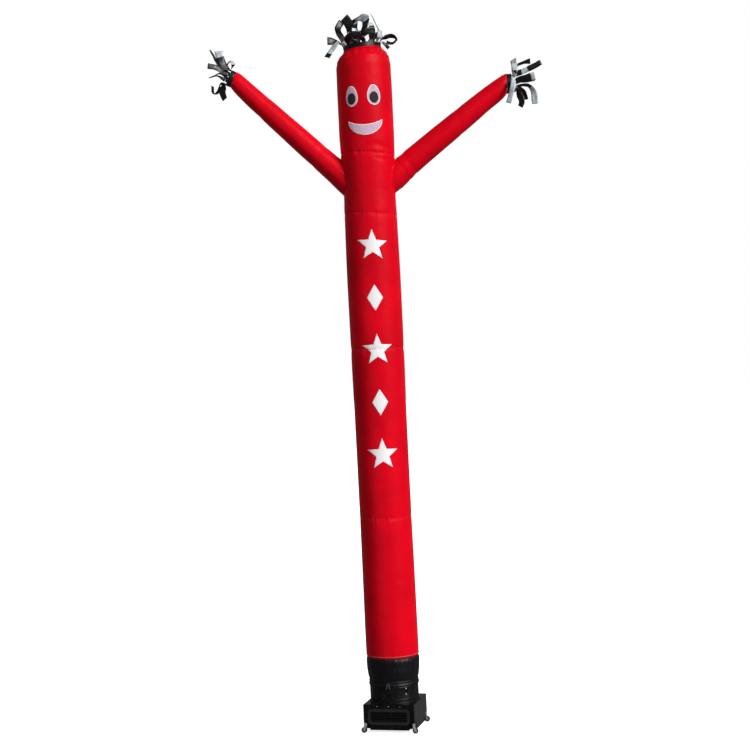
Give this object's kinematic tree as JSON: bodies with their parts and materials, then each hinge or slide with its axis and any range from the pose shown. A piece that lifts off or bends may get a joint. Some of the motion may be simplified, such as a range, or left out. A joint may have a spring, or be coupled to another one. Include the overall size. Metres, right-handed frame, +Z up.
{
  "type": "inflatable air dancer with its blower",
  "caption": "Tall red tube figure of thin nylon with a smiling face, raised tapering arms and streamers at its vents, tied to a square blower box on swivel casters.",
  "frame": {"origin": "on the floor, below the middle of the whole object's box", "axes": "+Z up along the tube, -Y the way the face looks, +X to the right of a viewer who faces it"},
  "size_m": [2.9505, 0.564, 6.3399],
  "materials": {
    "black_nylon": "satin woven nylon",
    "black_rubber": "matt",
    "black_steel": "gloss black paint on sheet",
    "bright_rivet": "bright",
    "pupil_cloth": "matt woven, sewn on",
    "red_nylon": "glossy thin woven nylon",
    "streamer_cloth": "satin, black on one side and silver on the other",
    "white_cloth": "matt woven, sewn on",
    "zinc_steel": "zinc plated"
  },
  "bodies": {
    "body": {"back_left_cup": "zinc_steel", "back_left_well": "black_steel", "back_right_cup": "zinc_steel", "back_right_well": "black_steel", "back_skirt": "black_steel", "base_pan": "black_steel", "blower_housing": "black_steel", "cable_gland": "black_rubber", "collar_panel": "black_nylon", "crown_streamers": "streamer_cloth", "diamond_lower": "white_cloth", "diamond_upper": "white_cloth", "front_left_cup": "zinc_steel", "front_left_well": "black_steel", "front_right_cup": "zinc_steel", "front_right_well": "black_steel", "front_skirt": "black_steel", "head_panel": "red_nylon", "housing_screw_left": "bright_rivet", "housing_screw_middle": "bright_rivet", "housing_screw_right": "bright_rivet", "intake_louvre": "black_steel", "left_arm": "red_nylon", "left_eye_white": "white_cloth", "left_pupil": "pupil_cloth", "left_skirt": "black_steel", "left_streamers": "streamer_cloth", "lower_panel": "red_nylon", "middle_panel": "red_nylon", "outlet_ring": "black_steel", "right_arm": "red_nylon", "right_eye_white": "white_cloth", "right_pupil": "pupil_cloth", "right_skirt": "black_steel", "right_streamers": "streamer_cloth", "ring_rivet_1": "bright_rivet", "ring_rivet_2": "bright_rivet", "shoulder_panel": "red_nylon", "smile_patch": "white_cloth", "star_bottom": "white_cloth", "star_middle": "white_cloth", "star_top": "white_cloth", "tie_tape": "black_nylon", "upper_panel": "red_nylon"},
    "front_left_fork_body": {"front_left_fork": "zinc_steel"},
    "front_left_wheel_body": {"front_left_wheel": "black_rubber"},
    "front_right_fork_body": {"front_right_fork": "zinc_steel"},
    "front_right_wheel_body": {"front_right_wheel": "black_rubber"},
    "back_left_fork_body": {"back_left_fork": "zinc_steel"},
    "back_left_wheel_body": {"back_left_wheel": "black_rubber"},
    "back_right_fork_body": {"back_right_fork": "zinc_steel"},
    "back_right_wheel_body": {"back_right_wheel": "black_rubber"}
  },
  "joints": [
    {"name": "front_left_swivel", "type": "hinge", "parent": "body", "child": "front_left_fork_body", "pos_m": [-0.3791, -0.1511, 0.06], "axis": [0, 0, 1], "continuous": true},
    {"name": "front_left_roll", "type": "hinge", "parent": "front_left_fork_body", "child": "front_left_wheel_body", "pos_m": [-0.3923, -0.1464, 0.025], "axis": [-0.3338, -0.9426, 0], "continuous": true},
    {"name": "front_right_swivel", "type": "hinge", "parent": "body", "child": "front_right_fork_body", "pos_m": [0.0391, -0.2671, 0.06], "axis": [0, 0, 1], "continuous": true},
    {"name": "front_right_roll", "type": "hinge", "parent": "front_right_fork_body", "child": "front_right_wheel_body", "pos_m": [0.053, -0.2655, 0.025], "axis": [-0.1132, 0.9936, 0], "continuous": true},
    {"name": "back_left_swivel", "type": "hinge", "parent": "body", "child": "back_left_fork_body", "pos_m": [-0.2631, 0.2671, 0.06], "axis": [0, 0, 1], "continuous": true},
    {"name": "back_left_roll", "type": "hinge", "parent": "back_left_fork_body", "child": "back_left_wheel_body", "pos_m": [-0.2769, 0.2648, 0.025], "axis": [0.165, -0.9863, 0], "continuous": true},
    {"name": "back_right_swivel", "type": "hinge", "parent": "body", "child": "back_right_fork_body", "pos_m": [0.1551, 0.1511, 0.06], "axis": [0, 0, 1], "continuous": true},
    {"name": "back_right_roll", "type": "hinge", "parent": "back_right_fork_body", "child": "back_right_wheel_body", "pos_m": [0.169, 0.1493, 0.025], "axis": [0.1305, 0.9914, 0], "continuous": true}
  ]
}
